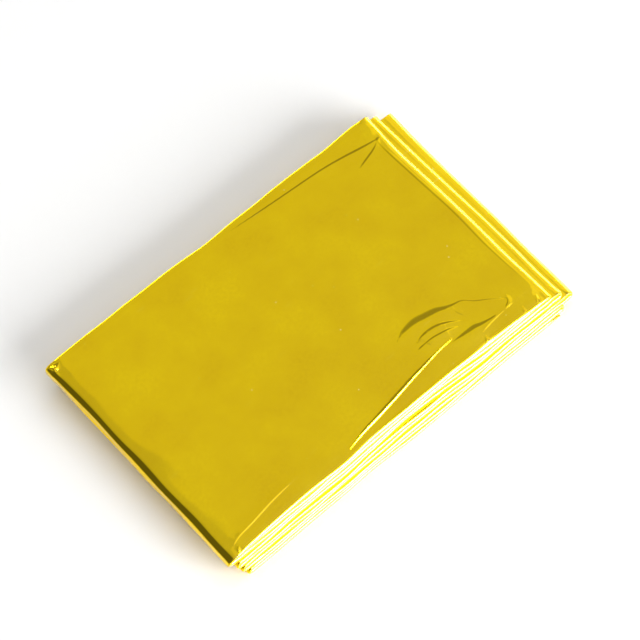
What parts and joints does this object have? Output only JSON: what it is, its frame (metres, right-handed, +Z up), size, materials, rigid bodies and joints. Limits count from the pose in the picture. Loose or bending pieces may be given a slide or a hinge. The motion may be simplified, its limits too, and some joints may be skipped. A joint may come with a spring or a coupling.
{
  "type": "emergency foil blanket, folded",
  "caption": "Thin gold metallised film blanket, folded lengthways into a strip and then back and forth into a small flat rectangular pack.",
  "frame": {"origin": "middle of the pack's box, on the surface that it lies on", "axes": "+X along the pack towards the end where the folds are stepped, +Y across it towards its straight back edge, +Z up"},
  "size_m": [0.1378, 0.0826, 0.0148],
  "materials": {
    "gold_foil": "polyester film metallised with aluminium and tinted gold, smooth and mirror-bright, with fine handling creases"
  },
  "bodies": {
    "root": {"foil_blanket": "gold_foil"}
  },
  "joints": []
}
